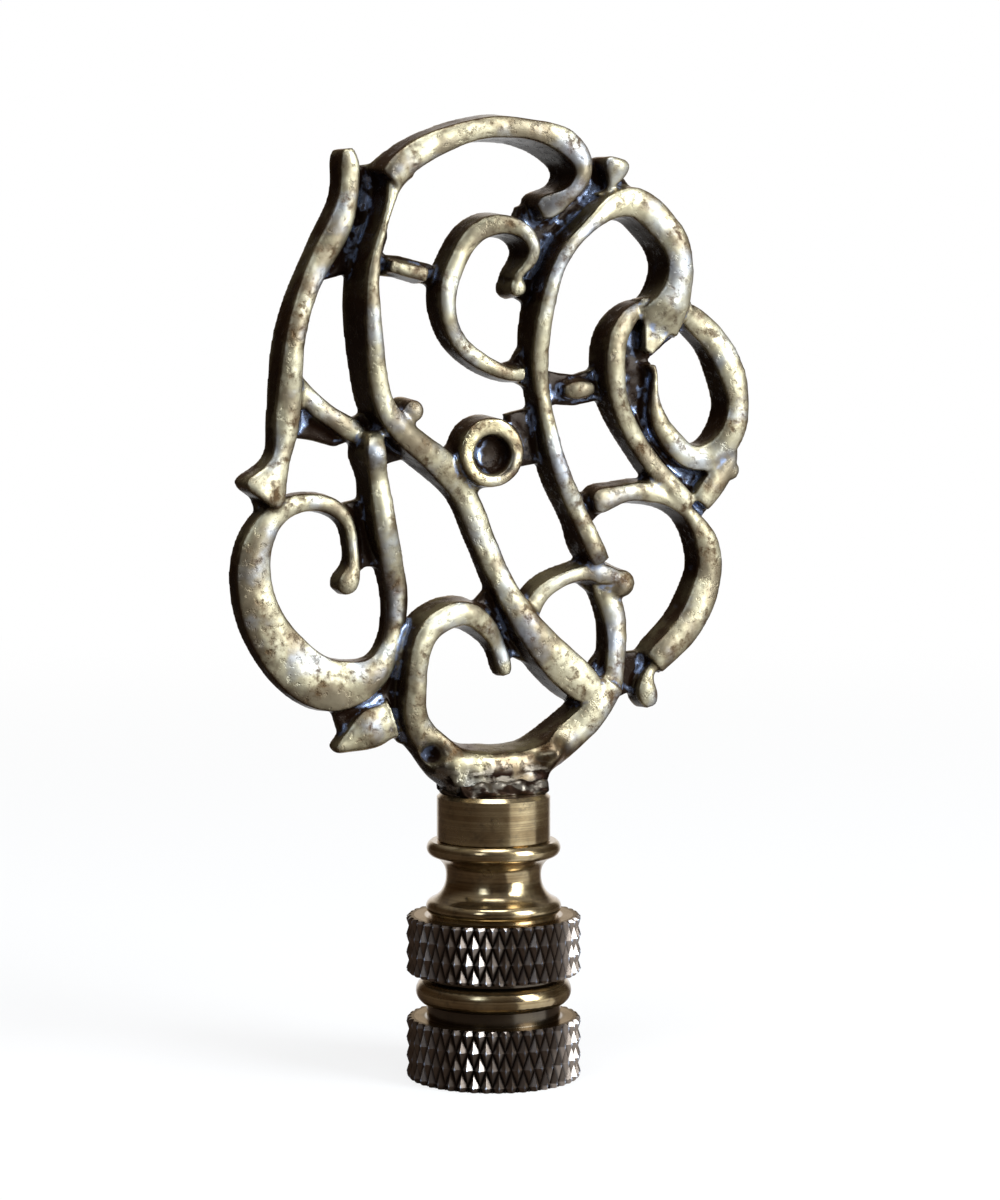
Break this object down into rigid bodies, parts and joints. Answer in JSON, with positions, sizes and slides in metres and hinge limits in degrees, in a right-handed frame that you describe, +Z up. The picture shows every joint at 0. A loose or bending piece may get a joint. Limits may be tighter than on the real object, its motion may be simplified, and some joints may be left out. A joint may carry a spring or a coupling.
{
  "type": "lamp finial",
  "caption": "Openwork scroll lamp finial: a flat cast scroll panel soldered to a turned collar and stud on a knurled base with a stepped, threaded bore.",
  "frame": {"origin": "centre of the base's underside, on the axis of its threaded bore", "axes": "+Z up along the bore's axis to the crown of the scrollwork; the scrollwork lies in the XZ plane and its decorated face looks along -Y; +X is to the right of that face"},
  "size_m": [0.0465, 0.0146, 0.0799],
  "materials": {
    "cast_brass": "antique, dark patina in the recesses, rubbed pale on the faces",
    "turned_brass": "antique, satin, darkened",
    "solder": "bright, lumpy, darkened in places",
    "stud_brass": "plain"
  },
  "bodies": {
    "root": {"scroll_ornament": "cast_brass", "solder_fillet": "solder", "collar": "turned_brass", "joining_stud": "stud_brass", "base": "turned_brass"}
  },
  "joints": []
}
